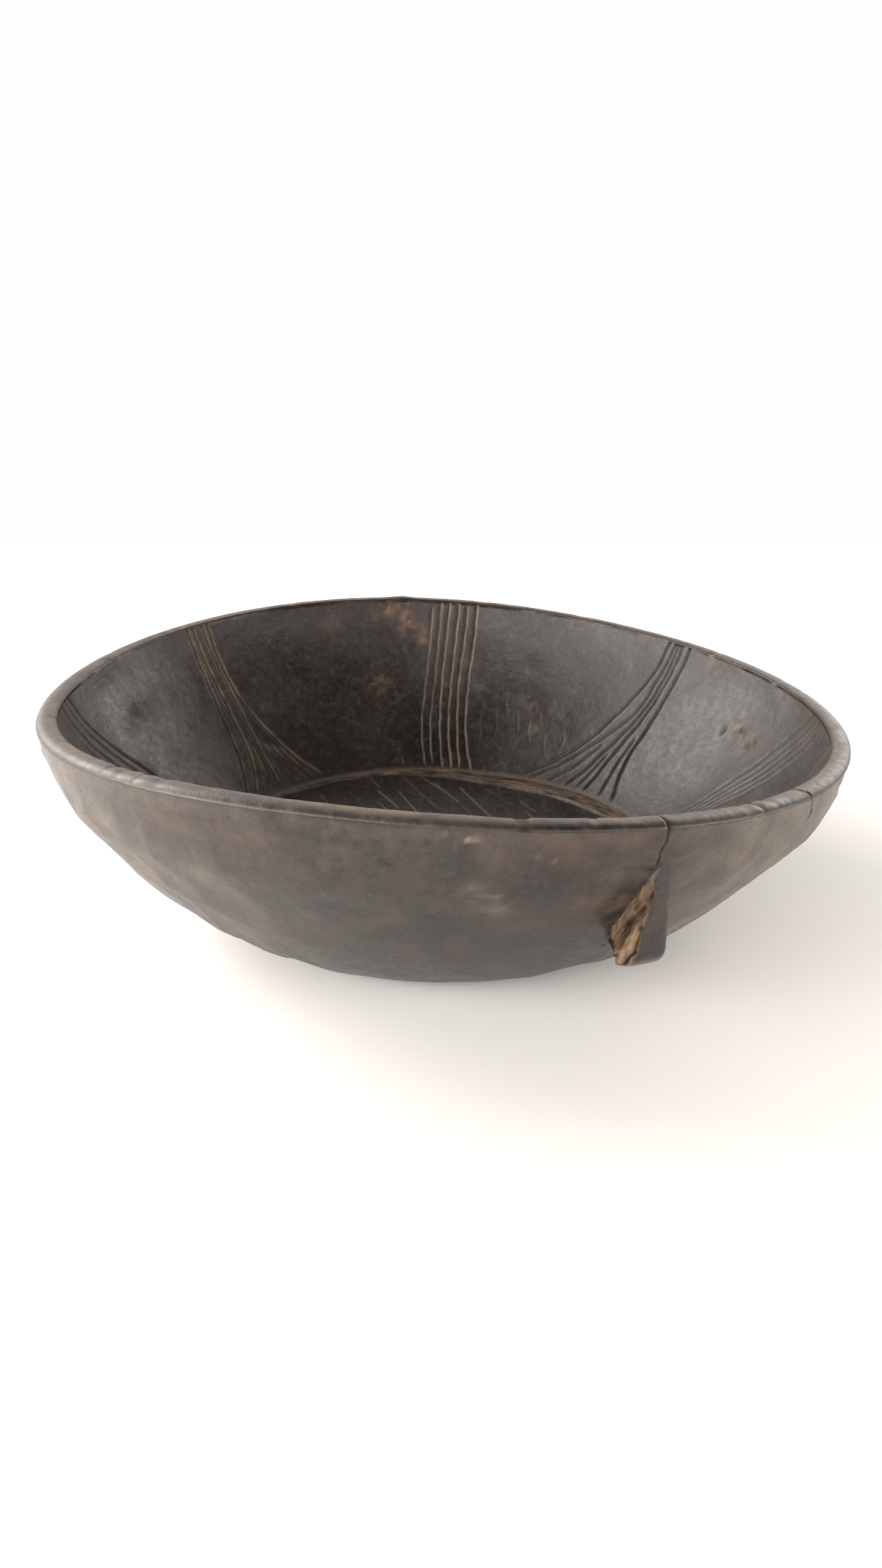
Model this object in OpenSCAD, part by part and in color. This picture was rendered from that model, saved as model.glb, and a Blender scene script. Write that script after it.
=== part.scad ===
// Shallow round food bowl carved from one block of dense wood, with a raised collar under
// the lip, a ring cut round the floor and one suspension lug. Millimetres, +Z up.
// The origin is the centre of the flat foot, on the surface that the bowl stands on.
// +Y points to the back. Angles run from +X towards +Y.

/* [Bowl] */
// Mean outer diameter at the rim
rim_d = 340; // [280:1:420]
// Mean height from the foot to the rim
bowl_h = 95; // [79:1:120]
// Diameter of the flat foot
foot_d = 172; // [140:1:206]
// How far the outer wall swells beyond the straight line from foot to rim
wall_swell = 17; // [13:0.5:20]
// Wall thickness at the lip, with the collar
lip_t = 7.5; // [5:0.5:12]
// Wall thickness half way up
mid_t = 11.4; // [8:0.2:14]
// Wall thickness at the floor, measured level
heel_t = 16.2; // [12:0.2:20]

/* [Floor] */
// Thickness of the floor inside the ring
floor_t = 16.5; // [12:0.5:20]
// Width of the ring where the wall meets the floor
ring_w = 6; // [4:0.5:10]
// How far the floor inside the ring lies below the ring
ring_step = 1.5; // [0.8:0.1:3]

/* [Rim] */
// Height of the collar under the lip
collar_h = 18; // [10:1:26]
// How far the collar stands proud of the wall
collar_proud = 1.5; // [0.5:0.1:3]
// How much lower the rim is at the left and right than at the front and back
rim_saddle = 11; // [4:0.5:16]
// Slope of the rim down towards the right, in degrees
rim_lean = 1.3; // [0:0.1:2.5]

/* [Lug] */
// Direction of the lug, in degrees
lug_angle = -64; // [-80:1:-45]
// Thickness of the lug round the wall
lug_w = 11; // [8:0.5:16]
// How far the lug's outer face is set back from the rim
lug_set_back = 2.5; // [1:0.5:8]
// Length of the lug down from the collar
lug_len = 38; // [34:1:46]
// Radius of the lug's lower outer corner
lug_corner = 9; // [4:0.5:12]
// Length of the cord slot along the wall
slot_len = 17; // [8:0.5:20]
// Width of the cord slot
slot_w = 3.2; // [2:0.1:3.8]
// Distance from the collar down to the middle of the cord slot
slot_drop = 25; // [22:0.5:30]
// Depth of the cord slot from the lug's broken side
slot_depth = 7; // [3:0.5:7.5]

/* [Hidden] */
$fn = 180;
// The saddle's cylinder is very large, so it takes more facets
SADDLE_FN = 720;
// Extra size of a cutting solid past the face that it cuts
PAST = 1;

rim_r = rim_d / 2;
// Top of the blank, high enough for the whole saddle and lean
blank_h = bowl_h + rim_saddle / 2 + rim_r * sin(rim_lean) + PAST;
floor_z = floor_t + ring_step;
collar_z = bowl_h - collar_h;

// Ends of the outer wall's arc, as [radius, height]
outer_foot = [foot_d / 2, 0];
outer_rim = [rim_r - collar_proud, bowl_h];

// Radius of the arc through a and b that swells by s at its middle
function arc_r(a, b, s) = pow(norm(b - a), 2) / (8 * s) + s / 2;
// Unit vector across the line from a up to b, away from the bowl's axis
function out_of(a, b) = [b[1] - a[1], a[0] - b[0]] / norm(b - a);
// Centre of that arc
function arc_c(a, b, s) = (a + b) / 2 - out_of(a, b) * (arc_r(a, b, s) - s);

outer_c = arc_c(outer_foot, outer_rim, wall_swell);
outer_r = arc_r(outer_foot, outer_rim, wall_swell);

// The inner wall's arc is set in from the outer one by the wall's three thicknesses
ring_r = outer_c[0] + sqrt(pow(outer_r, 2) - pow(outer_c[1] - floor_z, 2)) - heel_t;
inner_foot = [ring_r, floor_z];
inner_rim = [rim_r - lip_t, bowl_h];
outer_mid = (outer_foot + outer_rim) / 2;
inner_mid = (inner_foot + inner_rim) / 2;
inner_swell = wall_swell - mid_t + (outer_mid - inner_mid) * out_of(outer_foot, outer_rim);
inner_c = arc_c(inner_foot, inner_rim, inner_swell);
inner_r = arc_r(inner_foot, inner_rim, inner_swell);

// Radius of the cylinder that cuts the saddle into the rim
saddle_r = (pow(rim_r, 2) + pow(rim_saddle, 2)) / (2 * rim_saddle);

// The lug hangs from the collar and starts well inside the wall, where the hollow trims it
lug_reach = rim_r - lug_set_back;
lug_root = ring_r;
lug_z = collar_z - lug_len;
// The slot lies just outside the wall's arc, and slot_fall is how steeply the arc's radius falls there
slot_fall = asin((outer_c[1] - collar_z + slot_drop) / (outer_r + slot_w));
slot_mid = outer_c + (outer_r + slot_w) * [cos(slot_fall), -sin(slot_fall)];

// Half section from the axis out to an arc, from height z0 up to z1
module inside_arc(c, r, z0, z1) {
    intersection() {
        union() {
            translate(c) circle(r = r);
            translate([-PAST, z0]) square([c[0] + PAST, z1 - z0]);
        }
        translate([0, z0]) square([2 * rim_d, z1 - z0]);
    }
}

// Half section of the outer form. It runs below the foot, which is cut off flat later
module outer_section() {
    inside_arc(outer_c, outer_r, -PAST, blank_h);
    inside_arc(outer_c, outer_r + collar_proud, collar_z, blank_h);
}

// Half section of the hollow, with the step of the floor ring
module hollow_section() {
    inside_arc(inner_c, inner_r, floor_z, blank_h + PAST);
    translate([0, floor_t]) square([ring_r - ring_w, floor_z]);
}

// Round form of a half section. It starts opposite the lug, so that no seam meets a cut edge
module turned() {
    rotate([0, 0, lug_angle + 180]) rotate_extrude() children();
}

// Solid above the rim: a wide cylinder lying along X, whose underside is the saddle
module above_rim() {
    translate([0, 0, bowl_h - rim_saddle / 2]) rotate([0, rim_lean, 0]) translate([rim_d, 0, saddle_r])
        rotate([0, -90, 0]) cylinder(r = saddle_r, h = 2 * rim_d, $fn = SADDLE_FN);
}

module below_foot() {
    translate([-rim_d, -rim_d, -bowl_h]) cube([2 * rim_d, 2 * rim_d, bowl_h]);
}

// Side view of the lug: a fin under the collar with a rounded lower corner
module lug_section() {
    reach = lug_reach - lug_root;
    translate([lug_root, lug_z + lug_corner]) square([reach, lug_len - lug_corner + PAST]);
    translate([lug_root, lug_z]) square([reach - lug_corner, lug_len]);
    translate([lug_reach - lug_corner, lug_z + lug_corner]) circle(r = lug_corner, $fn = 48);
}

// Side view of the slot where the cord passed between the lug and the wall
module slot_section() {
    straight = slot_len - slot_w;
    translate(slot_mid) rotate(90 - slot_fall) {
        translate([-straight / 2, -slot_w / 2]) square([straight, slot_w]);
        for (end = [-1, 1]) translate([end * straight / 2, 0]) circle(d = slot_w, $fn = 32);
    }
}

module lug() {
    rotate([0, 0, lug_angle]) rotate([90, 0, 0]) difference() {
        linear_extrude(lug_w, center = true) lug_section();
        translate([0, 0, lug_w / 2 - slot_depth]) linear_extrude(lug_w) slot_section();
    }
}

module bowl() {
    color("#3a2f2b") difference() {
        union() {
            turned() outer_section();
            lug();
        }
        turned() hollow_section();
        above_rim();
        below_foot();
    }
}

bowl();
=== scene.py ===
import math

import bpy
import numpy as np
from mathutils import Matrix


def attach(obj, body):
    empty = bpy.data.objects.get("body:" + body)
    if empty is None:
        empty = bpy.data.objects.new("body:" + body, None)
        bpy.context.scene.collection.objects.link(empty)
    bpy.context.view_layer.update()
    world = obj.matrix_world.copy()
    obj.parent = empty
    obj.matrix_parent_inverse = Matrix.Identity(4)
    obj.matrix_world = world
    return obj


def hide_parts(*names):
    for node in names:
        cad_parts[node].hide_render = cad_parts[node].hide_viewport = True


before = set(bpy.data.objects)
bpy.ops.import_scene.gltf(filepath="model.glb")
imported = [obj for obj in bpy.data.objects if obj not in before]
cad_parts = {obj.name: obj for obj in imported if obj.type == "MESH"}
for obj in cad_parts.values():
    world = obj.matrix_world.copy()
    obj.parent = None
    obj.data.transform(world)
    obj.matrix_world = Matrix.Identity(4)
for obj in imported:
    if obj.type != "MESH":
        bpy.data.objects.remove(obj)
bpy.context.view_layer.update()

# The bowl's visible mesh is made here in millimetres, in the CAD's frame, and scaled to metres.
# Angles are in degrees, from +X towards +Y, so the front is at -90. In the functions below, theta
# is the angle, r the radius, z the height, p the points as x, y, z, and t the share of the way
# down the wall, which is 0 at the lip.
MM = 0.001

# Mean height of the rim
HEIGHT = 95.0
# Heights where the outside's depth scale starts and ends. On the outside, the rim's unevenness
# has faded out at the lower one
OUTSIDE_TOP = 93.0
OUTSIDE_BASE = 4.2
# Middle of the smoothest part of the outside
FRONT = -92.0

# Arcs of the outer and inner wall in the section, each with its centre as (radius, height)
OUTER_C = (45.8, 118.3)
OUTER_R = 124.9
INNER_C = (3.3, 154.2)
INNER_R = 169.4

# The lip: radius of its crest, width of its outer shoulder, heights of the shoulder's lower end
# and of the crest, and radius of its inner corner
LIP_CREST_R = 162.9
LIP_SHOULDER = 5.5
LIP_Z = 92.8
LIP_TOP = 95.2
LIP_CORNER = 1.2

# The ring where the wall meets the floor, and the height of the floor inside it
RING_R = 104.0
RING_Z = 18.0
FLOOR_Z = 16.5

# The hollow of the foot: its height in the middle and its radius
FOOT_HOLLOW = 0.35
FOOT_HOLLOW_R = 62.0

# The lug: direction, heights of its hidden top and of its bottom, radius of its lower corner,
# distance of its outer face from the bowl's axis, and half thickness on its whole side
LUG_ANGLE = -64.0
LUG_TOP = 88.0
LUG_BOTTOM = 39.2
LUG_CORNER = 9.0
LUG_REACH = 165.8
LUG_RIGHT = 5.2

# Direction of the wood's grain
GRAIN_ANGLE = -66.0

# Column spacing in degrees, and the stretches that need the fine one
FINE_STEP = 0.24
COARSE_STEP = 0.5
FINE_STRETCHES = [(-152, -127), (-103, -87), (-68, -37), (-12, 160), (161, 190)]

# Surface masks, stored on the points for the wood's material
MASKS = ("inside", "worn", "red", "pale", "raw", "soot")


def smooth(x, low, high):
    """0 below low, 1 above high, with a soft start and end."""
    s = np.clip((x - low) / (high - low), 0, 1)
    return s * s * (3 - 2 * s)


def turn(a):
    """An angle brought into -180 to 180."""
    return (a + 180) % 360 - 180


def around(theta, points):
    """Value at theta from (angle, value) points that repeat every full turn."""
    angles, values = np.array(points, float).T
    return np.interp(theta, angles, values, period=360)


def hump(theta, angle, half_angle):
    """Soft band about an angle, 1 at its middle."""
    return np.exp(-(turn(theta - angle) / half_angle) ** 2)


def spot(theta, t, angle, depth, half_angle, half_depth):
    """Soft round patch in angle and depth, 1 at its middle."""
    return hump(theta, angle, half_angle) * np.exp(-((t - depth) / half_depth) ** 2)


def spots(theta, t, places):
    """Sum of soft patches, each given as (angle, depth, half angle, half depth, strength)."""
    return sum(strength * spot(theta, t, *place) for *place, strength in places)


# ---- smooth random fields ----

LATTICE_SIZE = 32
LATTICE = np.random.default_rng(11).uniform(-1, 1, (LATTICE_SIZE, LATTICE_SIZE, LATTICE_SIZE))
# Keeps the lattice's planes off x = 0, y = 0 and z = 0
LATTICE_SHIFT = 57.3


def noise(p, size):
    """Smooth random field from -1 to 1 at the points p, with features of about size mm."""
    q = np.asarray(p) / size + LATTICE_SHIFT
    cell = np.floor(q).astype(int)
    w = q - cell
    w = w * w * (3 - 2 * w)
    total = 0
    for corner in range(8):
        bit = np.array([corner & 1, corner >> 1 & 1, corner >> 2 & 1])
        i, j, k = np.moveaxis((cell + bit) % LATTICE_SIZE, -1, 0)
        total = total + LATTICE[i, j, k] * np.prod(np.where(bit, w, 1 - w), axis=-1)
    return total


def rough(p, size, levels=3):
    """Noise with finer and weaker levels added."""
    return sum(noise(p, size / 2 ** n) / 2 ** n for n in range(levels)) / 1.5


def fibres(p, across, along):
    """Noise drawn out along the grain."""
    a = math.radians(GRAIN_ANGLE)
    u = p[..., 0] * math.cos(a) + p[..., 1] * math.sin(a)
    v = p[..., 1] * math.cos(a) - p[..., 0] * math.sin(a)
    return rough(np.stack([u * across / along, v, p[..., 2]], -1), across)


# ---- the hand-made form: oval plan and uneven rim ----

def oval(theta):
    """How much longer the radius is than the mean, as a share of it."""
    a = np.radians(theta)
    return 0.0088 * np.cos(2 * a) - 0.0344 * np.sin(2 * a) + 0.0096 * np.cos(3 * a)


def rim_wave(theta):
    """How much higher the rim is than its mean, in mm."""
    a = np.radians(theta)
    wave = -3.75 * np.cos(a) - 1.3 * np.sin(a) - 5.5 * np.cos(2 * a) + 1.2 * np.sin(2 * a)
    return wave + 1.1 * np.cos(3 * a) + 0.55 * np.sin(3 * a)


def hand_made(theta, r, z, inner):
    """Round form to the real one: oval in plan, and a rim that rises and falls. Gives x, y, z."""
    low = np.where(inner, RING_Z, OUTSIDE_BASE)
    lift = np.clip((z - low) / (HEIGHT - low), 0, 1)
    r = r * (1 + (0.6 + 0.4 * lift) * oval(theta))
    a = np.radians(theta)
    return np.stack([r * np.cos(a), r * np.sin(a), z + lift * rim_wave(theta)], -1)


# ---- incised lines ----
# Each line is (start, end, depth in mm, five angles). The angles are at even steps from the lip
# to the floor ring, and start and end say where on that way the line runs.

LEFT_LINES = [
    (0, 0.97, 1.4, (180.6, 177.5, 171.8, 166.8, 163)),
    (0, 0.97, 1.2, (182.8, 179.9, 174.4, 169.8, 166)),
    (0, 0.97, 1.3, (185.8, 182.9, 177.4, 173, 170)),
    (0, 0.97, 1.1, (188.5, 185.7, 180.4, 176.3, 173)),
]
BACK_LEFT_LINES = [
    (0, 0.98, 1.0, (140.7, 140.7, 141.2, 143.2, 151)),
    (0, 0.98, 0.9, (139.6, 139.2, 138.9, 140, 147.5)),
    (0, 0.97, 0.8, (137.6, 136.9, 136.3, 136.4, 137.5)),
    (0, 0.98, 1.0, (136.3, 136.1, 134.7, 130.3, 122.5)),
    (0.7, 0.98, 0.6, (137, 137, 136.5, 134.5, 131)),
    (0.72, 0.98, 0.6, (136, 136, 135.5, 133, 128)),
    (0.74, 0.98, 0.5, (135, 135, 134.5, 131.6, 125.5)),
    (0.68, 0.98, 0.6, (138, 138, 137.5, 138.4, 141.5)),
    (0.74, 0.98, 0.5, (137, 137, 136.5, 136, 134.5)),
]
BACK_LINES = [
    (0, 0.99, 1.0, (81.8, 82.2, 83, 82.8, 80)),
    (0.03, 0.99, 0.9, (83.7, 84.3, 85.2, 85, 83.4)),
    (0, 0.99, 0.9, (85.5, 86.2, 87, 87.3, 85.8)),
    (0, 0.99, 0.8, (87.4, 88.2, 89.1, 89.5, 88.6)),
    (0, 0.97, 0.45, (89.1, 89.8, 90.8, 92, 91.5)),
    (0.05, 0.98, 0.5, (90.8, 91.6, 92.8, 94.2, 93.7)),
    (0.9, 0.98, 0.5, (100, 100, 100, 100.3, 100)),
]
BACK_RIGHT_LINES = [
    (0, 0.98, 0.9, (38.9, 40.6, 44.8, 51.5, 65.5)),
    (0, 0.98, 0.8, (37.5, 38.9, 41.2, 49.3, 61.5)),
    (0, 0.98, 0.8, (37, 37.6, 39.6, 44, 49.5)),
    (0, 0.98, 0.9, (36, 36.8, 38.4, 41, 42.6)),
    (0, 0.98, 1.0, (34.1, 35, 35.9, 35.9, 31)),
    (0.68, 0.98, 0.6, (42, 42, 41.5, 46.5, 55.5)),
    (0.72, 0.98, 0.5, (39, 39, 39, 42.5, 45.8)),
    (0.6, 0.98, 0.7, (36.8, 36.8, 37, 38, 36.6)),
]
RIGHT_LINES = [
    (0, 0.97, 0.7, (-3.2, 0.7, 4.2, 8.3, 12)),
    (0, 0.97, 0.5, (-5, -1.5, 2.3, 7, 11)),
    (0, 0.97, 0.5, (-6.5, -3.3, 0.6, 5.8, 10)),
    (0, 0.97, 0.5, (-8, -5.2, -1.1, 4.6, 9)),
    (0, 0.97, 0.6, (-9.5, -7.1, -2.8, 3.5, 8)),
]


def mirrored(lines, middle, new_middle):
    """The same bundle seen in a mirror, about another angle."""
    return [(s, e, d, tuple(new_middle - (a - middle) for a in angles)) for s, e, d, angles in lines]


def shifted(lines, by):
    """The same bundle turned by an angle."""
    return [(s, e, d, tuple(a + by for a in angles)) for s, e, d, angles in lines]


# The three bundles under the front rim repeat the others
HIDDEN_LINES = (
    mirrored(BACK_RIGHT_LINES, 37, -50)
    + shifted(BACK_LINES, -178)
    + mirrored(BACK_LEFT_LINES, 138, -140)
)
# The bundles whose edges show a light line of wear and painted highlight, and those whose edges stay grey
DARK_LINES = BACK_LEFT_LINES + BACK_LINES
GREY_LINES = LEFT_LINES + BACK_RIGHT_LINES + RIGHT_LINES


def line_angle(angles, t):
    """Smooth curve through five angles at t = 0, 1/4, 1/2, 3/4 and 1."""
    a = np.array(angles, float)
    a = np.concatenate([[2 * a[0] - a[1]], a, [2 * a[-1] - a[-2]]])
    s = np.clip(t, 0, 0.9999) * 4
    k = int(s)
    f = s - k
    p0, p1, p2, p3 = a[k:k + 4]
    return p1 + 0.5 * f * (p2 - p0 + f * (2 * p0 - 5 * p1 + 4 * p2 - p3 + f * (3 * (p1 - p2) + p3 - p0)))


# Half width of an incised line, and how far its light edge, wear with a painted highlight on one wall, and
# its faint edge lie from its middle, in mm
GROOVE_HALF = 1.2
LIGHT_EDGE = 0.8
FAINT_EDGE = 0.9


def grooves(theta, t, r, lines):
    """How deep the incised lines lie at this depth, in mm, and how strongly their edges show: a light line of
    wear and painted highlight on one wall, and a faint one on the other.
    """
    cut = np.zeros_like(theta)
    shown = np.zeros_like(theta)
    for start, end, depth, angles in lines:
        if not start - 0.02 < t < end + 0.02:
            continue
        middle = line_angle(angles, t)
        slope = (line_angle(angles, t + 0.01) - line_angle(angles, t - 0.01)) / 0.02
        lean = math.hypot(1, math.radians(slope) * r / 100)
        waver = 0.12 * math.sin(41 * t + angles[0]) + 0.08 * math.sin(97 * t + 3 * angles[0])
        across = (turn(theta - middle) * math.pi / 180 * r + waver) / lean
        ends = smooth(t, start - 0.01, start + 0.03) * (1 - smooth(t, end - 0.05, end + 0.01))
        cut = np.maximum(cut, depth * ends * np.clip(1 - np.abs(across) / GROOVE_HALF, 0, 1))
        # Painted highlight, with wear, along one wall of each groove, and a faint light line on the other
        # wall
        light = 1.15 * np.exp(-((across + LIGHT_EDGE) / 0.5) ** 2)
        faint = 0.3 * np.exp(-((across - FAINT_EDGE) / 0.3) ** 2)
        shown = np.maximum(shown, min(1, depth + 0.1) * ends * (light + faint))
    return cut, shown


# ---- carving marks, chips and cracks ----

def scoop_centres(seed, rows, per_row):
    """Middles of the adze's scoops: staggered rows with uneven places, sizes and depths."""
    rng = np.random.default_rng(seed)
    found = []
    for k in range(rows):
        for j in range(per_row):
            angle = (j + 0.5 * (k % 2) + rng.uniform(-0.3, 0.3)) * 360 / per_row
            depth = (k + rng.uniform(0.1, 0.9)) / rows
            found.append((angle, depth, rng.uniform(0.75, 1.3), rng.uniform(0, 0.55)))
    return found


OUTER_SCOOPS = scoop_centres(5, 5, 34)
INNER_SCOOPS = scoop_centres(8, 4, 26)


def scoops(theta, t, centres, half_angle, half_depth):
    """Overlapping shallow scoops: 0 in the middle of a scoop, about 1 on the ridges between."""
    low = np.full_like(theta, 9.0)
    for angle, depth, size, lift in centres:
        across = turn(theta - angle) / (half_angle * size)
        down = (t - depth) / (half_depth * size)
        low = np.minimum(low, across ** 2 + down ** 2 + lift)
    return np.minimum(low, 1.4)


# Height of the collar's lower edge, and how far it stands proud, as (angle, mm)
COLLAR_EDGE = [
    (-145, 86), (-110, 86), (-92, 84), (-75, 81), (-65, 79), (-60, 83), (-52, 86), (0, 85), (90, 84),
]
COLLAR_PROUD = [
    (-175, 0.3), (-145, 0.7), (-112, 1), (-100, 0.3), (-75, 0.4), (-63, 1.3), (-45, 0.9),
    (-20, 0.4), (90, 0.8),
]


def collar(theta, z):
    """The thicker band under the lip. Its lower edge and height vary, and the front is nearly smooth."""
    edge = around(theta, COLLAR_EDGE)
    proud = around(theta, COLLAR_PROUD)
    return proud * smooth(z, edge - 1.3, edge + 1.1)


# Hollows in the lip: (angle, half width in degrees, depth in mm)
LIP_DENTS = [
    (-80.3, 0.8, 1.7), (-82.5, 1.8, 0.6), (-72, 0.35, 0.9), (-124, 0.8, 0.8), (-127.5, 0.6, 0.7),
    (-131, 1, 0.7), (-134, 0.7, 0.9), (-52, 0.7, 0.8), (-50, 0.5, 1.1), (-47.5, 0.8, 0.7),
    (-151, 1.1, 0.6), (-166, 0.6, 0.7), (12, 0.9, 0.7), (29, 0.6, 0.6), (60, 1.2, 0.5),
    (81, 1.5, 0.5), (118, 0.9, 0.5), (158, 0.7, 0.6), (-20, 0.8, 0.6), (-33, 1.1, 0.5),
]


def lip_wear(theta, p):
    """How much is missing from the lip, in mm. One hump at the back is left standing higher."""
    lost = 0.16 * np.maximum(noise(p, 9), 0) + 0.3 * np.maximum(noise(p, 3) - 0.3, 0)
    for angle, half_angle, depth in LIP_DENTS:
        lost = lost + 0.5 * depth * hump(theta, angle, half_angle)
    return lost - 0.9 * hump(theta, 97, 2.2)


# Drying cracks down from the lip: (angle at the lip, angle at its end, how far down, depth in mm)
CRACKS = [(-63.7, -64.9, 0.182, 2.4), (-41.2, -39.3, 0.12, 2.2)]
# How far above the zero of the depth scale the cracks start to lean and to narrow
CRACK_START = 0.06


def cracks(theta, t):
    """Depth of the cracks in mm."""
    depth = np.zeros_like(theta)
    for top, bottom, length, deep in CRACKS:
        along = np.clip((t + CRACK_START) / (length + CRACK_START), 0, 1)
        middle = top + (bottom - top) * along + 0.16 * np.sin(60 * t + top)
        half_angle = max(0.17 * (1 - 0.45 * along) * (t < length), 0.01)
        shape = np.clip(1 - np.abs(turn(theta - middle)) / half_angle, 0, 1)
        depth = np.maximum(depth, deep * shape)
    return depth


# Knife cuts across the floor, as (x, y) at each end
KNIFE_CUTS = [
    ((-36, 95), (-30, 79)), ((-31, 76), (-19, 52)), ((-46, 76), (-36, 50)), ((-20, 75), (-8, 42)),
    ((-29, 58), (-22, 44)), ((-4, 63), (8, 37)), ((-2, 88), (12, 58)), ((12, 58), (21, 34)),
    ((-18, 95), (0, 52)), ((12, 80), (30, 32)), ((22, 86), (40, 52)), ((42, 62), (50, 46)),
    ((45, 46), (52, 28)), ((33, 55), (38, 38)), ((-8, 95), (3, 75)), ((-60, 70), (-50, 44)),
]


def hidden_cuts():
    """More knife cuts on the part of the floor under the front rim, along the grain."""
    rng = np.random.default_rng(21)
    found = []
    for x in range(-66, 70, 11):
        middle = np.array([x + rng.uniform(-5, 5), rng.uniform(-62, 8)])
        a = math.radians(GRAIN_ANGLE + rng.uniform(-4, 4))
        half = rng.uniform(8, 21) * np.array([math.cos(a), math.sin(a)])
        found.append((middle - half, middle + half))
    return found


ALL_CUTS = KNIFE_CUTS + hidden_cuts()


def knife_cuts(p):
    """How strongly the cuts show at points p on the floor."""
    shown = np.zeros(p.shape[0])
    for i, (a, b) in enumerate(ALL_CUTS):
        a, b = np.array(a, float), np.array(b, float)
        run = b - a
        length = np.linalg.norm(run)
        along = (p[:, :2] - a) @ run / length
        away = np.abs((p[:, 0] - a[0]) * run[1] - (p[:, 1] - a[1]) * run[0]) / length
        inside = smooth(along, -2, 3) * (1 - smooth(along, length - 3, length + 2))
        strength = 0.6 + 0.4 * math.sin(i * 2.3)
        shown = np.maximum(shown, strength * inside * np.exp(-(away / 0.42) ** 2))
    return shown


# ---- the section, from the foot's centre round the lip to the floor's centre ----

def section_rows():
    """Rows of the mesh as (zone, r, z, outward r, outward z, every how many columns are used)."""
    rows = []
    for r in (7, 16, 28, 42, 56, 68, 77, 83):
        rows.append(("foot", r, FOOT_HOLLOW * max(0, 1 - (r / FOOT_HOLLOW_R) ** 2), 0, -1, 4))
    start = math.asin(-OUTER_C[1] / OUTER_R)
    stop = math.asin((LIP_Z - OUTER_C[1]) / OUTER_R)
    for a in np.linspace(start, stop, 84):
        c, s = math.cos(a), math.sin(a)
        z = OUTER_C[1] + OUTER_R * s
        rows.append(("outer", OUTER_C[0] + OUTER_R * c, z, c, s, 2 if z < 76 else 1))
    for a in np.radians(np.linspace(3, 90, 12)):
        c, s = math.cos(a), math.sin(a)
        rows.append(("lip", LIP_CREST_R + LIP_SHOULDER * c, LIP_Z + (LIP_TOP - LIP_Z) * s, c, s, 1))
    for a in np.radians((110, 130, 150, 165)):
        c, s = math.cos(a), math.sin(a)
        rows.append(("lip", LIP_CREST_R + LIP_CORNER * c, LIP_TOP + LIP_CORNER * (s - 1), c, s, 1))
    start = math.asin((LIP_TOP - LIP_CORNER - INNER_C[1]) / INNER_R)
    stop = math.asin((RING_Z - INNER_C[1]) / INNER_R)
    for a in np.linspace(start, stop, 80):
        c, s = math.cos(a), math.sin(a)
        rows.append(("inner", INNER_C[0] + INNER_R * c, INNER_C[1] + INNER_R * s, -c, -s, 1))
    for r in np.arange(RING_R - 0.8, 87, -0.8):
        rows.append(("floor", r, RING_Z, 0, 1, 1))
    for r in np.arange(85.8, 42, -1.2):
        rows.append(("floor", r, RING_Z, 0, 1, 1))
    for r in range(40, 3, -3):
        rows.append(("floor", r, RING_Z, 0, 1, 2 if r > 22 else 4))
    return rows


def column_angles():
    """Column angles, close together where the fine detail is. Their number divides by four."""
    step = 0.02
    scale = np.arange(-180, 180, step)
    spacing = np.full(scale.size, COARSE_STEP)
    for low, high in FINE_STRETCHES:
        inside = np.abs(turn(scale - (low + high) / 2)) < (high - low) / 2
        spacing[inside] = FINE_STEP
    count = np.concatenate([[0], np.cumsum(step / spacing)])
    n = int(count[-1] / 4) * 4
    return np.interp(np.arange(n) * count[-1] / n, count, np.append(scale, 180.0))


def depth_outside(z):
    """Share of the way down the outside."""
    return (OUTSIDE_TOP - z) / (OUTSIDE_TOP - OUTSIDE_BASE)


def depth_inside(z):
    """Share of the way from the lip to the floor ring that the bundles' angles are given at."""
    below = [0, 10, 20, 36.5, 53, 69, 77]
    share = [0, 0.12, 0.25, 0.45, 0.65, 0.85, 1]
    return float(np.interp(HEIGHT - z, below, share))


def fullness(theta, z):
    """How much fuller the carved wall is than its plain arc, in mm: less beside the lug, more at the left."""
    belly = (2.5 - 1.7 * hump(theta, LUG_ANGLE, 14)) * math.exp(-((z - 73) / 14) ** 2)
    left = 1.7 * hump(theta, 180, 40) * math.exp(-((z - 86) / 22) ** 2)
    return belly + left


def foot_row(p):
    """How far the underside stands out, in mm, and its masks."""
    return 0.1 * rough(p, 12) - 0.1, {"worn": 0.25 + 0.2 * rough(p, 10)}


# Patches on the outside, as (angle, depth, half angle, half depth, strength)
RED_OUTSIDE = [
    (-73, 0.05, 9, 0.07, 0.55), (-114, 0.14, 4, 0.06, 0.5), (-70, 0.33, 5, 0.09, 0.45),
    (-122, 0.1, 7, 0.04, 0.3),
]
SCUFFS = [(-84, 0.27, 1.6, 0.06, 1), (-82, 0.33, 1.3, 0.03, 0.6), (-86, 0.24, 1, 0.03, 0.5)]
SPECKS = [(-87.5, 0.035, 1.8, 0.015, 1), (-82, 0.07, 0.5, 0.008, 1), (-77, 0.09, 1.3, 0.012, 1)]
# How much painted sheen lightens the sides of the outside, as (angle, share)
SHEEN_PAINTED_SIDES = [
    (-165, 1), (-128, 0.15), (-100, 0), (-64, 0), (-52, 0.8), (-10, 0.8), (30, 0.1), (150, 0.1), (180, 1),
]


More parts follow.
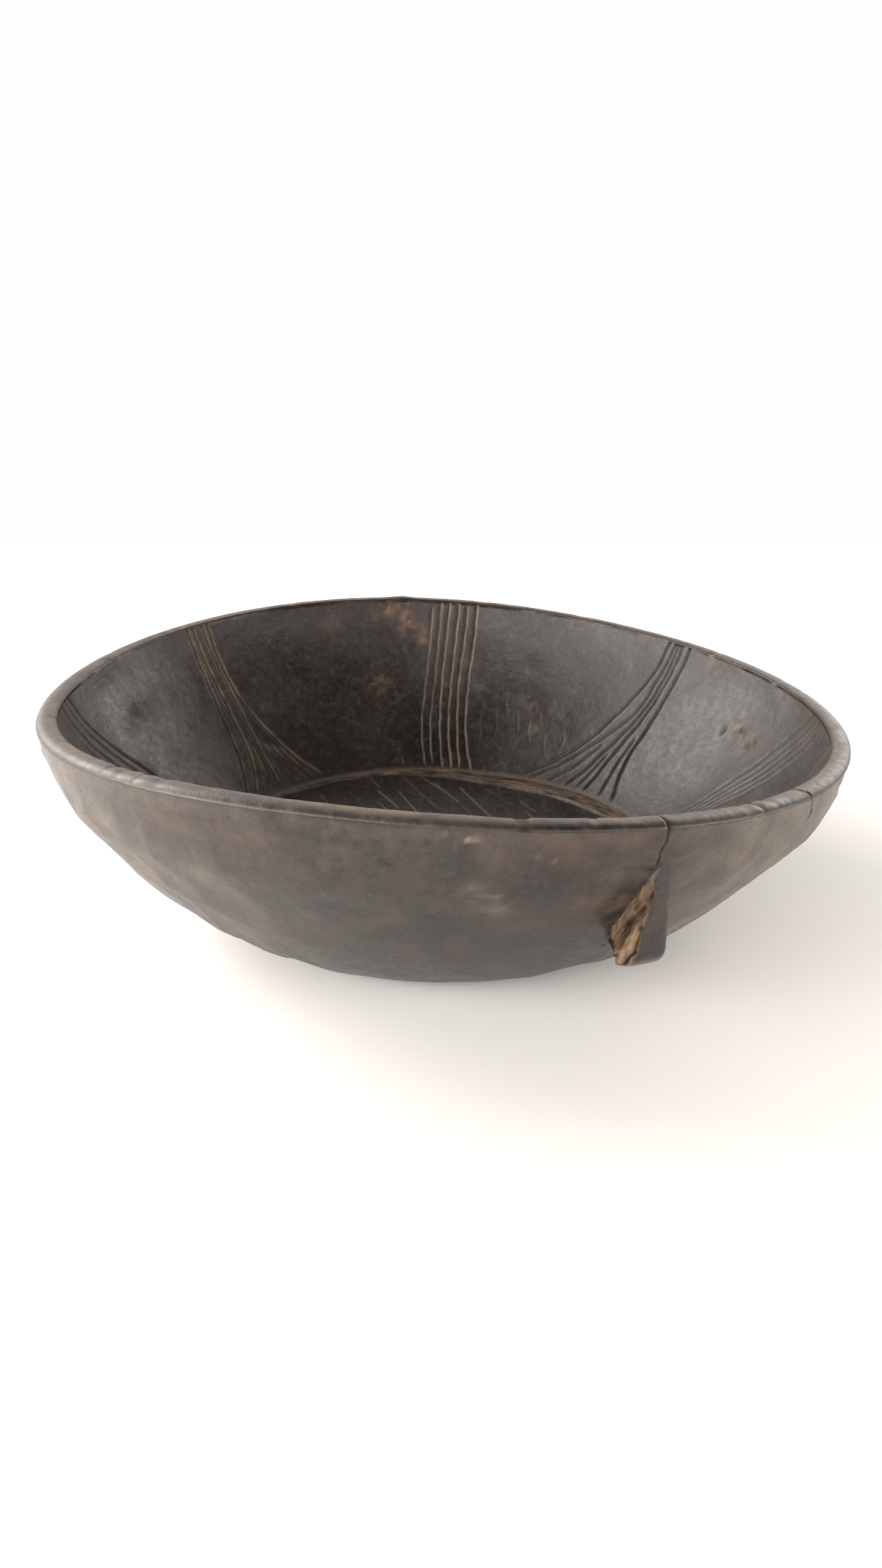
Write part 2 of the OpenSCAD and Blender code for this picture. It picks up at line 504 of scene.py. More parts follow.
def outer_row(theta, z, p):
    """How far the outside stands out from its arc, in mm, and its masks."""
    t = depth_outside(z)
    crack = cracks(theta, t)
    sides = 0.25 + 0.75 * smooth(np.abs(turn(theta - FRONT)), 16, 34)
    fade = smooth(t, 0.08, 0.16) * (1 - smooth(t, 0.94, 1.0))
    uneven = 0.55 * noise(p, 48) + 0.26 * noise(p, 17) + 0.1 * rough(p, 5)
    facets = 1.7 * sides * fade * (scoops(theta, t, OUTER_SCOOPS, 8.5, 0.2) - 0.8)
    out = collar(theta, z) + fullness(theta, z) + uneven + facets - crack
    red = spots(theta, t, RED_OUTSIDE) * np.clip(0.75 + 0.9 * rough(p, 9), 0, 1.4)
    scuff = spots(theta, t, SCUFFS) * np.clip(0.4 + 1.5 * rough(p, 2.6), 0, 1)
    specks = spots(theta, t, SPECKS) * smooth(noise(p, 0.9), 0.15, 0.6)
    # Painted sheen lightens the sides; the scuffs and specks are pale marks of the wood
    painted_sheen = around(theta, SHEEN_PAINTED_SIDES) * np.clip(0.8 + 0.7 * rough(p, 10), 0, 1.3)
    pale = 0.34 * painted_sheen + 0.1 * scuff + 0.8 * specks
    worn = 0.2 * smooth(z, 86, 92) * np.clip(0.5 + rough(p, 6), 0, 1)
    worn = worn + 0.3 * fade * sides * smooth(rough(p, 14), 0.15, 0.6) + 0.6 * scuff
    beside_lug = spot(theta, t, -67.5, 0.42, 1.8, 0.13) * smooth(rough(p, 4), -0.2, 0.5)
    worn = worn + 0.5 * beside_lug
    # Painted shade darkens the cracks
    return out, {"red": red, "pale": pale, "worn": worn, "soot": smooth(crack, 0.3, 1.0)}


def lip_row(theta, z, outward, p):
    """How far the lip stands out, in mm, and its masks. outward is the section's (r, z) direction."""
    lost = lip_wear(theta, p)
    outer_side = max(0.0, outward[0])
    share = max(0.0, outward[1]) ** 0.7 if outward[0] > 0 else 1.0
    blend = (collar(theta, np.full_like(theta, LIP_Z)) + fullness(theta, LIP_Z)) * outer_side
    crack = cracks(theta, depth_outside(z)) * (0.35 + 0.65 * outer_side)
    out = blend - lost * share - crack + 0.12 * rough(p, 3)
    crest = max(0.0, 1 - abs(outward[0] - 0.15) / 0.7)
    worn = 0.75 * crest * np.clip(0.6 + 0.9 * rough(p, 5), 0, 1.2) - 0.4 * smooth(lost, 0.3, 0.7)
    pitted = 0.55 * smooth(lost, 0.35, 0.7)
    masks = {
        "worn": np.maximum(worn, 0),
        "red": pitted,
        # Painted shade in the lip's dents and cracks
        "soot": np.maximum(pitted, smooth(crack, 0.3, 1.0)),
        "inside": smooth(-outward[0], -0.3, 0.5),
    }
    return out, masks


# Patches on the inside, as (angle, depth, half angle, half depth, strength)
KNOT = [(14.5, 0.33, 1.6, 0.03, 1), (17, 0.38, 1.1, 0.03, 1), (9.5, 0.36, 2.2, 0.03, 0.7)]
RED_INSIDE = [
    (96, 0.12, 2.3, 0.1, 1), (93, 0.24, 1.6, 0.07, 1), (100, 0.08, 3, 0.05, 0.8),
    (67, 0.56, 2, 0.045, 0.7), (103.5, 0.5, 2.5, 0.09, 0.9), (110, 0.16, 4, 0.1, 0.35),
]


def inner_row(theta, r, z, p):
    """How far the hollow's wall stands out, in mm, and its masks."""
    t = depth_inside(z)
    dark_cut, dark_shown = grooves(theta, t, r, DARK_LINES)
    grey_cut, grey_shown = grooves(theta, t, r, GREY_LINES)
    hidden_cut, hidden_shown = grooves(theta, t, r, HIDDEN_LINES)
    knot = spots(theta, t, KNOT)
    pits = knot * smooth(noise(p, 2.4), -0.1, 0.45)
    checks = drying_checks(theta, t)
    out = 0.6 * noise(p, 42) + 0.24 * noise(p, 14) + 0.09 * rough(p, 5)
    out = out + 0.35 * smooth(t, 0.04, 0.15) * (scoops(theta, t, INNER_SCOOPS, 10, 0.26) - 0.7)
    out = out - 1.05 * (dark_cut + grey_cut + hidden_cut) - 0.9 * pits - 0.2 * checks

    patches = spots(theta, t, RED_INSIDE)
    red = patches * np.clip(0.55 + 1.3 * rough(p, 6), 0, 1.2)
    streaks = smooth(noise(p * [1, 1, 0.3], 4), 0.25, 0.8) * smooth(rough(p, 22), 0.05, 0.5)
    # Light lines of wear and painted highlight along the incised lines' walls
    worn_and_lit_edges = np.maximum(0.85 * dark_shown, np.maximum(0.28 * grey_shown, 0.5 * hidden_shown))
    worn = worn_and_lit_edges * np.clip(0.8 + 0.7 * noise(p, 5), 0.2, 1.2) + 0.22 * streaks
    worn = worn + 0.35 * patches * smooth(rough(p, 3), 0, 0.6) + 1.1 * knot * smooth(rough(p, 3), -0.2, 0.4)
    worn = worn + 0.5 * smooth(t, 0.975, 1.0)
    scratch = spot(theta - (t - 0.58) * 70, t, 98.5, 0.58, 0.35, 0.045)
    flecks = smooth(noise(p, 1.2), 0.72, 0.9) * smooth(red, 0.2, 0.6)
    pale = 0.07 * checks + 0.12 * scratch + 0.5 * flecks
    smudge = spot(theta, t, 161, 0.32, 6, 0.07) * np.clip(0.8 + rough(p, 7), 0, 1)
    clouds = smooth(rough(p, 26), 0.0, 0.6) * smooth(theta, 85, 110)
    # Painted shade darkens the incised lines and the knot's pits; the smudge and clouds are darker patches of
    # the wood
    soot = 0.55 * smudge + 0.7 * pits + 0.22 * clouds + 0.6 * grey_cut + 0.35 * dark_cut
    return out, {"inside": 1.0, "red": red, "worn": worn, "pale": pale, "soot": soot}


# Fine upright checks low on the inside, at the back right: (angle, upper end, lower end, lean)
CHECKS = [
    (73.5, 0.5, 0.66, -7), (75, 0.62, 0.78, -4), (69.5, 0.62, 0.74, -5), (79, 0.66, 0.8, -4),
    (64, 0.6, 0.7, -12), (62, 0.7, 0.83, -22), (57, 0.66, 0.76, -18), (66.5, 0.63, 0.77, -9),
]


def drying_checks(theta, t):
    """How strongly the fine checks show."""
    shown = np.zeros_like(theta)
    for angle, low, high, lean in CHECKS:
        middle = angle + lean * (t - low) + 0.25 * math.sin(60 * t + angle)
        ends = smooth(t, low - 0.01, low + 0.02) * (1 - smooth(t, high - 0.03, high))
        shown = np.maximum(shown, ends * hump(theta, middle, 0.18))
    return shown


# Radius of the rough band's inner edge, as (angle, mm)
BAND_EDGE = [
    (-180, 99), (-120, 97), (-60, 96), (0, 95), (30, 92), (60, 89.5), (75, 91), (90, 96),
    (110, 100), (150, 101),
]


def floor_row(theta, r, p):
    """The rough band inside the ring line, the step down, and the smooth floor with its knife cuts."""
    inner_edge = around(theta, BAND_EDGE) + 1.1 * noise(p, 7) + 0.5 * noise(p, 2)
    band = smooth(r, inner_edge - 0.7, inner_edge + 0.8)
    turned = np.stack([theta * 0.45, np.full_like(theta, r), np.zeros_like(theta)], -1)
    strands = rough(turned, 1.9) + 0.5 * noise(turned * [0.4, 1, 1], 1.0)
    cuts = knife_cuts(p) * (1 - band)
    dish = 0.5 * (r / 95) ** 2
    step = RING_Z - FLOOR_Z
    ring_line = band * smooth(r, RING_R - 3, RING_R - 1.2) * (1 - smooth(r, RING_R - 1.2, RING_R))
    out = band * (step - dish) - step + dish + 0.38 * band * strands - 0.3 * cuts
    out = out + 0.12 * noise(p, 14) - 0.5 * ring_line
    worn = band * np.clip(0.5 + 0.75 * strands, 0, 1.2)
    pale = 0.4 * cuts + 0.14 * (1 - band) * smooth(fibres(p, 1.2, 40), 0.45, 0.9)
    return out, {"inside": 1.0, "worn": worn, "pale": pale}


def shaped_row(zone, theta, r, z, out_r, out_z):
    """One row's finished points in mm, and its masks."""
    inner = zone in ("inner", "floor")
    p = hand_made(theta, r, z, inner)
    if zone == "foot":
        out, masks = foot_row(p)
    elif zone == "outer":
        out, masks = outer_row(theta, z, p)
        out = out * smooth(z, 0, 4)
    elif zone == "lip":
        out, masks = lip_row(theta, z, (out_r, out_z), p)
    elif zone == "inner":
        out, masks = inner_row(theta, r, z, p)
    else:
        out, masks = floor_row(theta, r, p)
    return hand_made(theta, r + out * out_r, np.maximum(z + out * out_z, 0), inner), masks


def ring_faces(first, n, second, m):
    """Faces between two rows of n and m columns, where m is n, n / 2 or 2 n."""
    j = np.arange(min(n, m))
    k = (j + 1) % min(n, m)
    if n == m:
        corners = (first + j, first + k, second + k, second + j)
    elif m < n:
        corners = (first + 2 * j, first + 2 * j + 1, first + 2 * k, second + k, second + j)
    else:
        corners = (first + j, first + k, second + 2 * k, second + 2 * j + 1, second + 2 * j)
    return np.stack(corners, 1).tolist()


def fan(tip, first, n, forward):
    """Triangles from a tip to a row of n points, in the row's direction or against it."""
    pairs = [(first + j, first + (j + 1) % n) for j in range(n)]
    return [(tip, a, b) if forward else (tip, b, a) for a, b in pairs]


def bowl_mesh():
    """Points, faces and masks of the closed bowl without its lug."""
    columns = column_angles()
    points, faces, masks, starts = [], [], {m: [] for m in MASKS}, []
    total = 0
    for zone, r, z, out_r, out_z, every in section_rows():
        theta = columns[::every]
        row, found = shaped_row(zone, theta, r, z, out_r, out_z)
        points.append(row)
        for m in MASKS:
            masks[m].append(np.broadcast_to(found.get(m, 0.0), theta.shape))
        starts.append((total, theta.size))
        total += theta.size
    for (a, n), (b, m) in zip(starts, starts[1:]):
        faces += ring_faces(a, n, b, m)
    points += [np.array([[0, 0, FOOT_HOLLOW]]), np.array([[0, 0, FLOOR_Z]])]
    for m in MASKS:
        masks[m].append(np.array([0.0, 1.0 if m == "inside" else 0.0]))
    faces += fan(total, *starts[0], False)
    faces += fan(total + 1, *starts[-1], True)
    return np.concatenate(points), faces, {m: np.concatenate(v) for m, v in masks.items()}


# ---- the lug, with its torn left side ----

# Across the lug, at heights from its bottom up: where its torn side leaves the outer face, and
# where it reaches the wall
TORN_EDGE_HEIGHTS = [39, 45, 54, 64, 73, 80]
TORN_EDGE = [-6.2, -6.2, -4.5, -1.8, -0.6, 1]
TORN_ROOT_HEIGHTS = [39, 45, 50, 64, 74, 88]
TORN_ROOT = [-1, -2.5, -5, -5, -4, -3]
# How deep the lug's own mesh reaches into the wall
LUG_SUNK = 5.0
TORN_SUNK = 2.5


def outer_radius(z):
    """Radius of the outer wall's arc at a height."""
    return OUTER_C[0] + math.sqrt(OUTER_R ** 2 - (z - OUTER_C[1]) ** 2)


def lug_section(z):
    """Path of the lug's level section: (distance out, distance across, which side, share along it)."""
    wall = outer_radius(z)
    reach = LUG_REACH
    under = LUG_BOTTOM + LUG_CORNER - z
    if under > 0:
        reach = LUG_REACH - LUG_CORNER + math.sqrt(max(0, LUG_CORNER ** 2 - under ** 2))
    left = float(np.interp(z, TORN_EDGE_HEIGHTS, TORN_EDGE))
    root = float(np.interp(z, TORN_ROOT_HEIGHTS, TORN_ROOT))
    wide = LUG_RIGHT + 1.5
    path = [(wall - LUG_SUNK, wide, "right", 0)]
    for s in np.linspace(0.1, 1, 22):
        flare = 2.2 * max(0, 1 - s * 3) ** 2
        path.append((wall - LUG_SUNK + (reach - wall + 4.2) * s, LUG_RIGHT + flare, "right", s))
    for s in np.linspace(0, 1, 14):
        round_off = 0.5 * (abs(2 * s - 1) ** 6)
        path.append((reach - round_off, LUG_RIGHT + (left - LUG_RIGHT) * s, "end", s))
    for s in np.linspace(0.04, 1, 44):
        u = reach + (wall - TORN_SUNK - reach) * s
        flare = 12 * max(0, s - 0.8) ** 1.5
        path.append((u, left + (root - left) * s ** 1.3 - flare, "left", s))
    for s in (0.35, 0.7):
        path.append((wall - TORN_SUNK - 2.5 * s, root + (wide - root) * s, "root", s))
    return path


def torn(u, v, z, s):
    """How far the torn side stands out, in mm, and its raw and pale masks, with painted shade in its channel,
    its crack and along its lower edge.
    """
    p = np.array([u, v, z])
    out_of_wall = u - outer_radius(z)
    low = smooth(z, 41, 46)
    top = 1 - smooth(z, 68, 76)
    far = float(np.interp(z, [45, 76], [1.2, 0.9]))
    drawn = np.array([out_of_wall * 0.9, v * 0.9, z * 0.22])
    strands = rough(drawn, 1.6) + 0.6 * noise(drawn, 0.8)
    ragged = 0.05 * noise(p, 3)
    raw = smooth(s, 0.02 + ragged, 0.1 + ragged) * (1 - smooth(s, far - 0.2, far)) * top
    channel = math.exp(-((out_of_wall - 5.5) / 2.2) ** 2) * low * top
    ridge = math.exp(-((s - 0.24) / 0.13) ** 2) * top
    lump = math.exp(-((u - 154.5) / 4.5) ** 2 - ((z - 43.5) / 5) ** 2)
    crack = math.exp(-((s - 0.12 - ragged) / 0.035) ** 2) * top * smooth(noise(p, 6), -0.35, 0.1)
    # Painted shadow along the lower edge of the torn side, under the lump
    painted_underside_shadow = smooth(s, 0.3, 0.45) * (1 - smooth(z, 41.5, 44))
    out = raw * 0.85 * strands - 2.8 * channel * raw + 0.9 * ridge + 3.8 * lump - 1.2 * crack
    # Painted shade in the channel and the crack, and the painted shadow underneath
    soot = min(1, 0.6 * channel * raw + 0.9 * crack + 0.95 * painted_underside_shadow)
    return out, raw, soot, 0.5 * ridge + 0.15 * lump


def lug_row(z):
    """One level of the lug: its points as (out, across, height), and the masks of each point."""
    bottom = 1 - smooth(z, LUG_BOTTOM + 1, LUG_BOTTOM + 6)
    taper = 0.9 * (1 - smooth(z, LUG_BOTTOM, LUG_BOTTOM + 2.5))
    lifted = 1.4 * (1 - smooth(z, LUG_BOTTOM, LUG_BOTTOM + 14))
    row, masks = [], []
    for u, v, side, s in lug_section(z):
        raw = soot = pale = flank = 0.0
        if side == "left":
            out, raw, soot, pale = torn(u, v, z, s)
            u, v = u + 0.45 * out, v - 0.9 * out
            flank = (1 - raw) * smooth(s, 0.1, 0.4)
        if side != "root":
            v = v * (1 - 0.11 * taper)
        p = np.array([u, v, z])
        wobble = 0.12 * noise(p, 9) + 0.05 * noise(p, 3)
        if side == "end":
            u = u + wobble
        else:
            v = v + wobble
        row.append((u, v, z + lifted * (1 - smooth(u, 142, 156))))
        red = 0.8 * bottom + 0.5 * flank
        worn = 0.6 * bottom + 0.2 * flank
        masks.append({"raw": raw, "soot": soot, "pale": 0.4 * pale, "red": red, "worn": worn})
    return row, masks


def lug_mesh():
    """Points, faces and masks of the lug, whose root and top lie inside the bowl's wall."""
    above = np.linspace(LUG_TOP, LUG_BOTTOM + 3, 82)
    close = LUG_BOTTOM + np.array([2.2, 1.5, 0.9, 0.45, 0.15])
    rows, found = [], []
    for z in np.concatenate([above, close]):
        row, masks = lug_row(z)
        rows.append(np.array(row))
        found += masks
    lowest = rows[-1]
    n = len(lowest)
    centre = lowest.mean(0)
    for k, share in enumerate((0.8, 0.55, 0.28)):
        ring = centre + (lowest - centre) * share
        ring[:, 2] = LUG_BOTTOM - 0.15 * (k + 1) + 0.25 * noise(ring, 3)
        rows.append(ring)
        found += [{"red": 0.5, "worn": 0.5}] * n
    tips = np.array([rows[0].mean(0), centre - [0, 0, 0.6]])
    found += [{}, {}]
    local = np.concatenate(rows + [tips])
    total = len(rows) * n
    faces = []
    for first in range(0, total - n, n):
        faces += ring_faces(first, n, first + n, n)
    faces += fan(total, 0, n, False)
    faces += fan(total + 1, total - n, n, True)
    along = math.radians(LUG_ANGLE)
    x = local[:, 0] * math.cos(along) - local[:, 1] * math.sin(along)
    y = local[:, 0] * math.sin(along) + local[:, 1] * math.cos(along)
    points = hand_made(np.degrees(np.arctan2(y, x)), np.hypot(x, y), local[:, 2], False)
    return points, faces, {m: np.array([one.get(m, 0.0) for one in found]) for m in MASKS}


def mesh_object(name, points, faces, masks):
    """A mesh in the scene, with each mask as a value on its points."""
    mesh = bpy.data.meshes.new(name)
    mesh.from_pydata((points * MM).tolist(), [], faces)
    for mask, values in masks.items():
        attribute = mesh.attributes.new(mask, "FLOAT", "POINT")
        attribute.data.foreach_set("value", np.clip(values, 0, 1.3).astype(np.float32))
    mesh.validate()
    mesh.update()
    obj = bpy.data.objects.new(name, mesh)
    bpy.context.scene.collection.objects.link(obj)
    return obj


def joined(body, tool):
    """body with tool fused to it, and tool gone."""
    union = body.modifiers.new("lug", "BOOLEAN")
    union.operation = "UNION"
    union.solver = "MANIFOLD"
    union.object = tool
    graph = bpy.context.evaluated_depsgraph_get()
    mesh = bpy.data.meshes.new_from_object(body.evaluated_get(graph))
    body.modifiers.clear()
    body.data = mesh
    bpy.data.objects.remove(tool)
    return body


# ---- materials ----

class Nodes:
    """Short helpers for a material's nodes."""

    def __init__(self, name):
        self.material = bpy.data.materials.new(name)
        self.material.use_nodes = True
        self.tree = self.material.node_tree
        self.shader = self.tree.nodes["Principled BSDF"]
        self.place = self.node("ShaderNodeTexCoord").outputs["Object"]

    def node(self, kind, **values):
        made = self.tree.nodes.new(kind)
        for key, value in values.items():
            setattr(made, key, value)
        return made

    def link(self, source, target):
        self.tree.links.new(source, target)

    def mask(self, name):
        """One of the values stored on the mesh's points."""
        return self.node("ShaderNodeAttribute", attribute_name=name).outputs["Fac"]

    def stretched(self, scale, turned=0.0):
        """Object coordinates turned about Z and scaled."""
        made = self.node("ShaderNodeMapping")
        made.inputs["Rotation"].default_value[2] = turned
        made.inputs["Scale"].default_value = scale
        self.link(self.place, made.inputs["Vector"])
        return made.outputs["Vector"]

    def noise(self, scale, detail=4.0, vector=None, roughness=0.55):
        made = self.node("ShaderNodeTexNoise")
        made.inputs["Scale"].default_value = scale
        made.inputs["Detail"].default_value = detail
        made.inputs["Roughness"].default_value = roughness
        self.link(vector or self.place, made.inputs["Vector"])
        return made.outputs["Fac"]

    def ramp(self, value, low, high, to_low=0.0, to_high=1.0):
        """value taken evenly from low..high to to_low..to_high, and held there beyond."""
        made = self.node("ShaderNodeMapRange")
        for key, number in (("From Min", low), ("From Max", high), ("To Min", to_low), ("To Max", to_high)):
            made.inputs[key].default_value = number
        self.link(value, made.inputs["Value"])
        return made.outputs["Result"]

    def math(self, operation, a, b):
        made = self.node("ShaderNodeMath", operation=operation)
        self.link(a, made.inputs[0])
        self.link(b, made.inputs[1])
        return made.outputs[0]

    def total(self, *values):
        """Sum of two or more values."""
        result = values[0]
        for value in values[1:]:
            result = self.math("ADD", result, value)
        return result

    def mix(self, share, a, b):
        """Colour a where share is 0 and b where it is 1."""
        made = self.node("ShaderNodeMix", data_type="RGBA")
        self.link(share, made.inputs["Factor"])
        sockets = [s for s in made.inputs if s.type == "RGBA"]
        for socket, value in zip(sockets, (a, b)):
            if isinstance(value, tuple):
                socket.default_value = (*value, 1)
            else:
                self.link(value, socket)
        return next(s for s in made.outputs if s.type == "RGBA")


# Colours of the wood
OUTSIDE_DARK = (0.017, 0.0135, 0.0115)
OUTSIDE_LIGHT = (0.036, 0.029, 0.025)
OUTSIDE_RUBBED = (0.066, 0.050, 0.040)
HOLLOW_DARK = (0.006, 0.004, 0.003)
HOLLOW_LIGHT = (0.019, 0.0135, 0.0105)
HOLLOW_RUBBED = (0.036, 0.025, 0.019)
GRAIN_STREAK = (0.055, 0.041, 0.033)
GRIME = (0.007, 0.005, 0.004)
GRIME_GAP = (0.085, 0.062, 0.047)
DUST = (0.16, 0.125, 0.1)
RED_WOOD = (0.105, 0.054, 0.035)
# Tint of light wear, and of the painted highlight along one wall of each incised line
WORN_AND_LIT_WOOD = (0.205, 0.145, 0.098)
PALE_WOOD = (0.40, 0.33, 0.27)
RAW_DARK = (0.026, 0.014, 0.008)
RAW_LIGHT = (0.19, 0.12, 0.068)
# Near black, for soot and for painted shade
SOOT_AND_SHADE = (0.006, 0.004, 0.0035)


def wood_patterns(n):
    """The noises that the wood's colour, gloss and relief share."""
    grain = n.stretched((1, 0.05, 1), math.radians(90 - GRAIN_ANGLE))
    return {
        "streaks": n.noise(420, 3, grain),
        "clouds": n.noise(22, 5),
        "mottle": n.noise(95, 4),
        "fine": n.noise(900, 3),
        "grime": n.noise(260, 6, roughness=0.7),
    }


def wood_colour(n, patterns):
    clouds, mottle, grime, fine = (patterns[name] for name in ("clouds", "mottle", "grime", "fine"))
    outside = n.mix(n.ramp(clouds, 0.35, 0.68), OUTSIDE_DARK, OUTSIDE_LIGHT)
    outside = n.mix(n.ramp(mottle, 0.5, 0.75, 0, 0.5), outside, OUTSIDE_RUBBED)
    hollow = n.mix(n.ramp(clouds, 0.35, 0.7), HOLLOW_DARK, HOLLOW_LIGHT)
    hollow = n.mix(n.ramp(mottle, 0.55, 0.8, 0, 0.4), hollow, HOLLOW_RUBBED)
    colour = n.mix(n.mask("inside"), outside, hollow)
    colour = n.mix(n.ramp(patterns["streaks"], 0.5, 0.72, 0, 0.35), colour, GRAIN_STREAK)
    colour = n.mix(n.ramp(grime, 0.47, 0.32, 0, 0.75), colour, GRIME)
    colour = n.mix(n.ramp(grime, 0.56, 0.72, 0, 0.4), colour, GRIME_GAP)
    colour = n.mix(n.ramp(n.noise(1500, 2), 0.66, 0.78, 0, 0.3), colour, DUST)
    # The light tint serves wear, and the painted highlight along one wall of each incised line
    for mask, pattern, tint in (
        ("red", n.ramp(mottle, 0.3, 0.6, 0.35, 0.9), RED_WOOD),
        ("worn", n.ramp(fine, 0.3, 0.65, 0.45, 0.95), WORN_AND_LIT_WOOD),
        ("pale", n.ramp(fine, 0.3, 0.7, 0.5, 1), PALE_WOOD),
    ):
        colour = n.mix(n.math("MULTIPLY", n.mask(mask), pattern), colour, tint)
    fibre = n.noise(300, 4, n.stretched((1, 1, 0.16)))
    colour = n.mix(n.mask("raw"), colour, n.mix(n.ramp(fibre, 0.36, 0.66), RAW_DARK, RAW_LIGHT))
    # Near black for soot, and for painted shade in grooves, pits, dents, cracks, the lug's channel and under
    # the lug
    return n.mix(n.ramp(n.mask("soot"), 0, 1, 0, 0.92), colour, SOOT_AND_SHADE)


def wood_roughness(n, patterns):
    return n.total(
        n.ramp(patterns["clouds"], 0.3, 0.7, 0.31, 0.45),
        n.ramp(patterns["grime"], 0.4, 0.7, 0, 0.16),
        n.ramp(n.mask("worn"), 0, 1, 0, 0.2),
        n.ramp(n.mask("soot"), 0, 1, 0, 0.25),
        n.ramp(n.mask("raw"), 0, 1, 0, 0.4),
    )


def wood_relief(n, patterns):
    """Fine bump, much smaller than the carving, which is in the mesh."""
    bump = n.node("ShaderNodeBump")
    bump.inputs["Strength"].default_value = 0.5
    bump.inputs["Distance"].default_value = 0.0004
    height = n.total(
        n.ramp(patterns["streaks"], 0, 1, 0, 0.5),
        n.ramp(patterns["fine"], 0, 1, 0, 0.35),
        n.ramp(patterns["mottle"], 0, 1, 0, 1.2),
        n.ramp(patterns["grime"], 0, 1, 0, 0.8),
    )
    n.link(height, bump.inputs["Height"])
    return bump.outputs["Normal"]


def patinated_wood():
    n = Nodes("patinated_wood")
    patterns = wood_patterns(n)
    sheen = n.total(n.ramp(n.mask("soot"), 0, 1, 0.5, 0.12), n.ramp(n.mask("inside"), 0, 1, 0, -0.06))
    n.link(wood_colour(n, patterns), n.shader.inputs["Base Color"])
    n.link(wood_roughness(n, patterns), n.shader.inputs["Roughness"])
    n.link(sheen, n.shader.inputs["Specular IOR Level"])
    n.link(wood_relief(n, patterns), n.shader.inputs["Normal"])
    return n.material


# ---- studio, in metres ----

# Half width of the floor, and how far back it runs
FLOOR_HALF = 3.0
FLOOR_BACK = 0.93
FLOOR_TONES = ((0.88, 0.875, 0.865), (0.90, 0.895, 0.885))
LAMP_COLOUR = (1, 0.955, 0.91)
# What shows behind the bowl, and what the bowl reflects
SEEN_COLOUR = (1, 0.995, 0.985)
ROOM_COLOUR = (1, 0.945, 0.895)
# Direction in which the room is dimmest
DIM_DIRECTION = (0.28, -0.48, 0.83)

# The camera's place, its tilt down in degrees and its focal length in mm
CAMERA_PLACE = (0.0025, -0.4975, 0.2424)
CAMERA_TILT = 21.18
CAMERA_LENS = 27.05

# Soft lights as (name, place, height that it aims at, size, power)
LIGHTS = [
    ("left_window", (-1.45, 0.75, 1.0), 0.05, (1.4, 1.2), 40),
    ("right_back", (1.25, 1.4, 0.8), 0.05, (1.1, 0.8), 13),
    ("left_low", (-1.8, -0.5, 0.35), 0.05, (0.9, 0.6), 34),
    ("right_low", (1.8, -0.5, 0.35), 0.05, (0.9, 0.6), 16),
    ("front_left", (-1.1, -1.6, 0.85), 0, (1.8, 1.0), 36),
    ("front_right", (1.2, -1.6, 0.9), 0, (1.6, 1.2), 15),
]


def pale_floor():
    left, right, near, back = -FLOOR_HALF, FLOOR_HALF, -FLOOR_HALF, FLOOR_BACK
    mesh = bpy.data.meshes.new("floor")
    corners = [(left, near, 0), (right, near, 0), (right, back, 0), (left, back, 0)]
    mesh.from_pydata(corners, [], [(0, 1, 2, 3)])
    obj = bpy.data.objects.new("floor", mesh)
    bpy.context.scene.collection.objects.link(obj)
    n = Nodes("pale_floor")
    tone = n.mix(n.noise(2, 2), *FLOOR_TONES)
    n.link(tone, n.shader.inputs["Base Color"])
    n.shader.inputs["Roughness"].default_value = 0.8
    mesh.materials.append(n.material)


def soft_light(name, place, aim_height, size, power):
    """A rectangular light that faces a point on the bowl's axis."""
    lamp = bpy.data.lights.new(name, "AREA")
    lamp.shape = "RECTANGLE"
    lamp.size, lamp.size_y = size
    lamp.energy = power
    lamp.color = LAMP_COLOUR
    obj = bpy.data.objects.new(name, lamp)
    bpy.context.scene.collection.objects.link(obj)
    obj.location = place
    x, y, z = np.array([0, 0, aim_height]) - np.array(place)
    obj.rotation_euler = (math.atan2(math.hypot(x, y), -z), 0, math.atan2(y, x) - math.pi / 2)


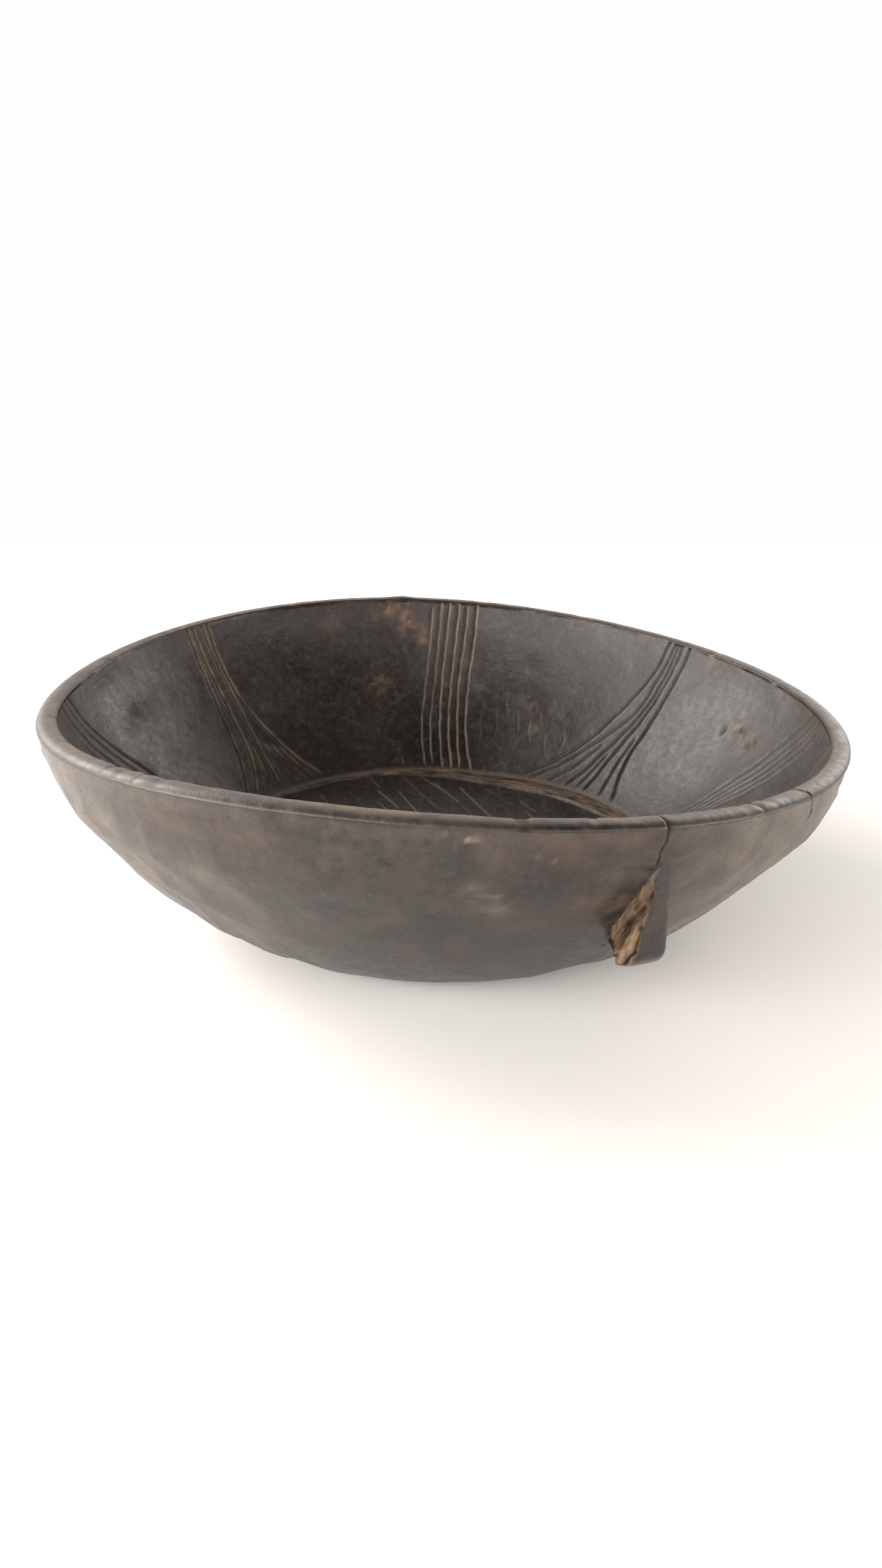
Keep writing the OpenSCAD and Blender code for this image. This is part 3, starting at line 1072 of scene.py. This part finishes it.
def white_room():
    """Near-white behind the bowl, and for its reflections a room that is dim on one side."""
    world = bpy.data.worlds.new("room")
    bpy.context.scene.world = world
    world.use_nodes = True
    tree = world.node_tree
    tree.nodes.clear()
    seen = tree.nodes.new("ShaderNodeBackground")
    seen.inputs["Color"].default_value = (*SEEN_COLOUR, 1)
    seen.inputs["Strength"].default_value = 1.0
    room = tree.nodes.new("ShaderNodeBackground")
    room.inputs["Color"].default_value = (*ROOM_COLOUR, 1)
    place = tree.nodes.new("ShaderNodeTexCoord")
    toward = tree.nodes.new("ShaderNodeVectorMath")
    toward.operation = "DOT_PRODUCT"
    toward.inputs[1].default_value = DIM_DIRECTION
    dim = tree.nodes.new("ShaderNodeMapRange")
    for key, number in (("From Min", 0.25), ("From Max", 0.8), ("To Min", 1.28), ("To Max", 0.05)):
        dim.inputs[key].default_value = number
    tree.links.new(place.outputs["Generated"], toward.inputs[0])
    tree.links.new(toward.outputs["Value"], dim.inputs["Value"])
    tree.links.new(dim.outputs["Result"], room.inputs["Strength"])
    path = tree.nodes.new("ShaderNodeLightPath")
    mix = tree.nodes.new("ShaderNodeMixShader")
    out = tree.nodes.new("ShaderNodeOutputWorld")
    tree.links.new(path.outputs["Is Camera Ray"], mix.inputs[0])
    tree.links.new(room.outputs[0], mix.inputs[1])
    tree.links.new(seen.outputs[0], mix.inputs[2])
    tree.links.new(mix.outputs[0], out.inputs[0])


def camera():
    data = bpy.data.cameras.new("camera")
    data.lens = CAMERA_LENS
    data.sensor_width = 36
    obj = bpy.data.objects.new("camera", data)
    bpy.context.scene.collection.objects.link(obj)
    obj.location = CAMERA_PLACE
    obj.rotation_euler = (math.radians(90 - CAMERA_TILT), 0, 0)
    bpy.context.scene.camera = obj


bpy.context.scene.view_settings.view_transform = "Standard"
camera()
white_room()
pale_floor()
for light in LIGHTS:
    soft_light(*light)

bowl = mesh_object("bowl_wood", *bowl_mesh())
lug = mesh_object("lug_wood", *lug_mesh())
bowl = joined(bowl, lug)
bowl.data.materials.clear()
bowl.data.materials.append(patinated_wood())
bowl.data.shade_smooth()
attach(bowl, "root")
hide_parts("bowl")
